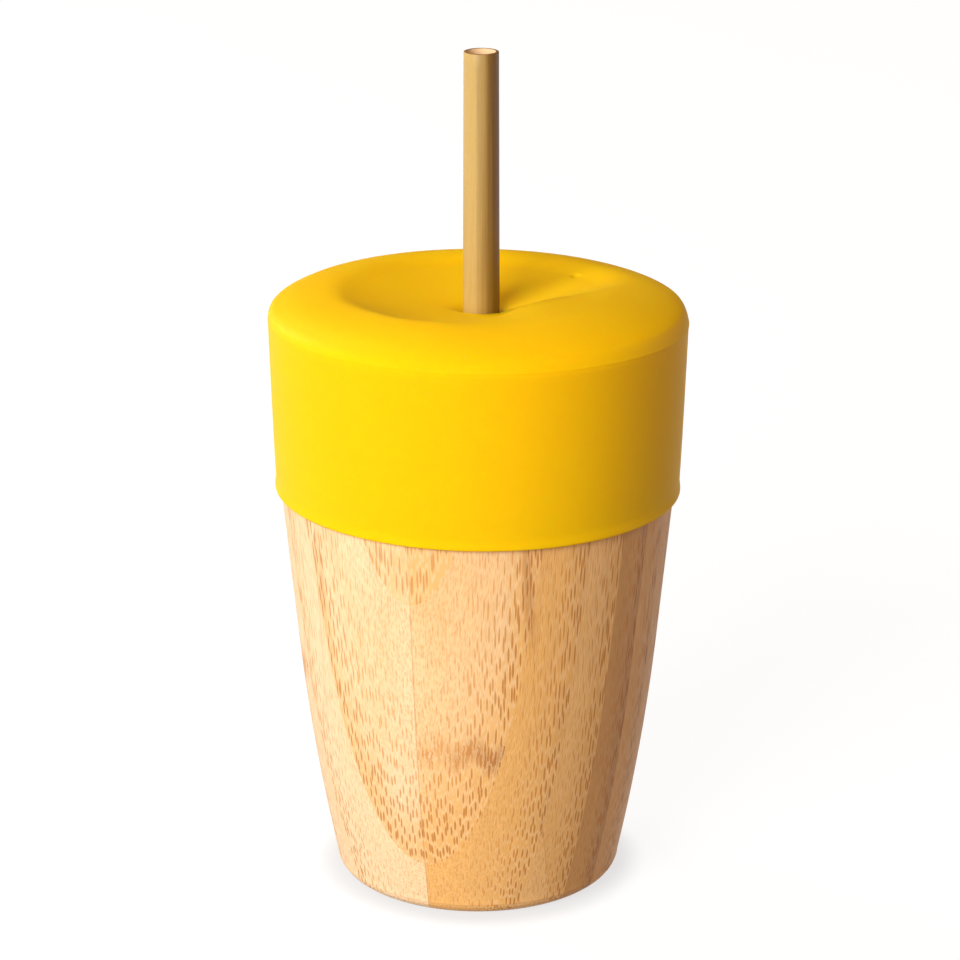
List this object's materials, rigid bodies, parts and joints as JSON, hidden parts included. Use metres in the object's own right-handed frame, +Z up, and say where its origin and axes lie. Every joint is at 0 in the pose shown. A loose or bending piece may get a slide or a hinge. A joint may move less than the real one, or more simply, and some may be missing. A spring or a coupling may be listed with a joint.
{
  "type": "straw cup",
  "caption": "Turned cup of laminated bamboo strips with a stretch-on silicone cap and a bamboo drinking straw through the cap's dished top.",
  "frame": {"origin": "centre of the cup's base, on the surface that it stands on", "axes": "+Z up along the cup's axis, -Y the front, +X the viewer's right"},
  "size_m": [0.0828, 0.0828, 0.1683],
  "materials": {
    "bamboo": "satin, fine fibre flecks along the height, glue lines between the strips",
    "silicone": "matte moulded silicone",
    "straw": "natural bamboo skin, satin"
  },
  "bodies": {
    "cup": {"ply_01_strip_b": "bamboo", "ply_01_strip_c": "bamboo", "ply_02_strip_a": "bamboo", "ply_02_strip_b": "bamboo", "ply_02_strip_c": "bamboo", "ply_02_strip_d": "bamboo", "ply_03_strip_a": "bamboo", "ply_03_strip_b": "bamboo", "ply_03_strip_c": "bamboo", "ply_03_strip_d": "bamboo", "ply_04_strip_a": "bamboo", "ply_04_strip_b": "bamboo", "ply_04_strip_c": "bamboo", "ply_04_strip_d": "bamboo", "ply_05_strip_a": "bamboo", "ply_05_strip_b": "bamboo", "ply_05_strip_c": "bamboo", "ply_05_strip_d": "bamboo", "ply_06_strip_a": "bamboo", "ply_06_strip_b": "bamboo", "ply_06_strip_c": "bamboo", "ply_06_strip_d": "bamboo", "ply_07_strip_a": "bamboo", "ply_07_strip_b": "bamboo", "ply_07_strip_c": "bamboo", "ply_07_strip_d": "bamboo", "ply_08_strip_a": "bamboo", "ply_08_strip_b": "bamboo", "ply_08_strip_c": "bamboo", "ply_08_strip_d": "bamboo", "ply_09_strip_a": "bamboo", "ply_09_strip_b": "bamboo", "ply_09_strip_c": "bamboo", "ply_09_strip_d": "bamboo", "ply_10_strip_a": "bamboo", "ply_10_strip_b": "bamboo", "ply_10_strip_c": "bamboo", "ply_10_strip_d": "bamboo", "ply_11_strip_a": "bamboo", "ply_11_strip_b": "bamboo", "ply_11_strip_c": "bamboo", "ply_11_strip_d": "bamboo", "ply_12_strip_b": "bamboo", "ply_12_strip_c": "bamboo"},
    "cap": {"silicone_cap": "silicone"},
    "straw": {"bamboo_straw": "straw"}
  },
  "joints": [
    {"name": "cap_lift", "type": "slide", "parent": "cup", "child": "cap", "axis": [0, 0, 1], "range_m": [0, 0.115]},
    {"name": "straw_slide", "type": "slide", "parent": "cap", "child": "straw", "axis": [0, 0, 1], "range_m": [0, 0.115]}
  ]
}
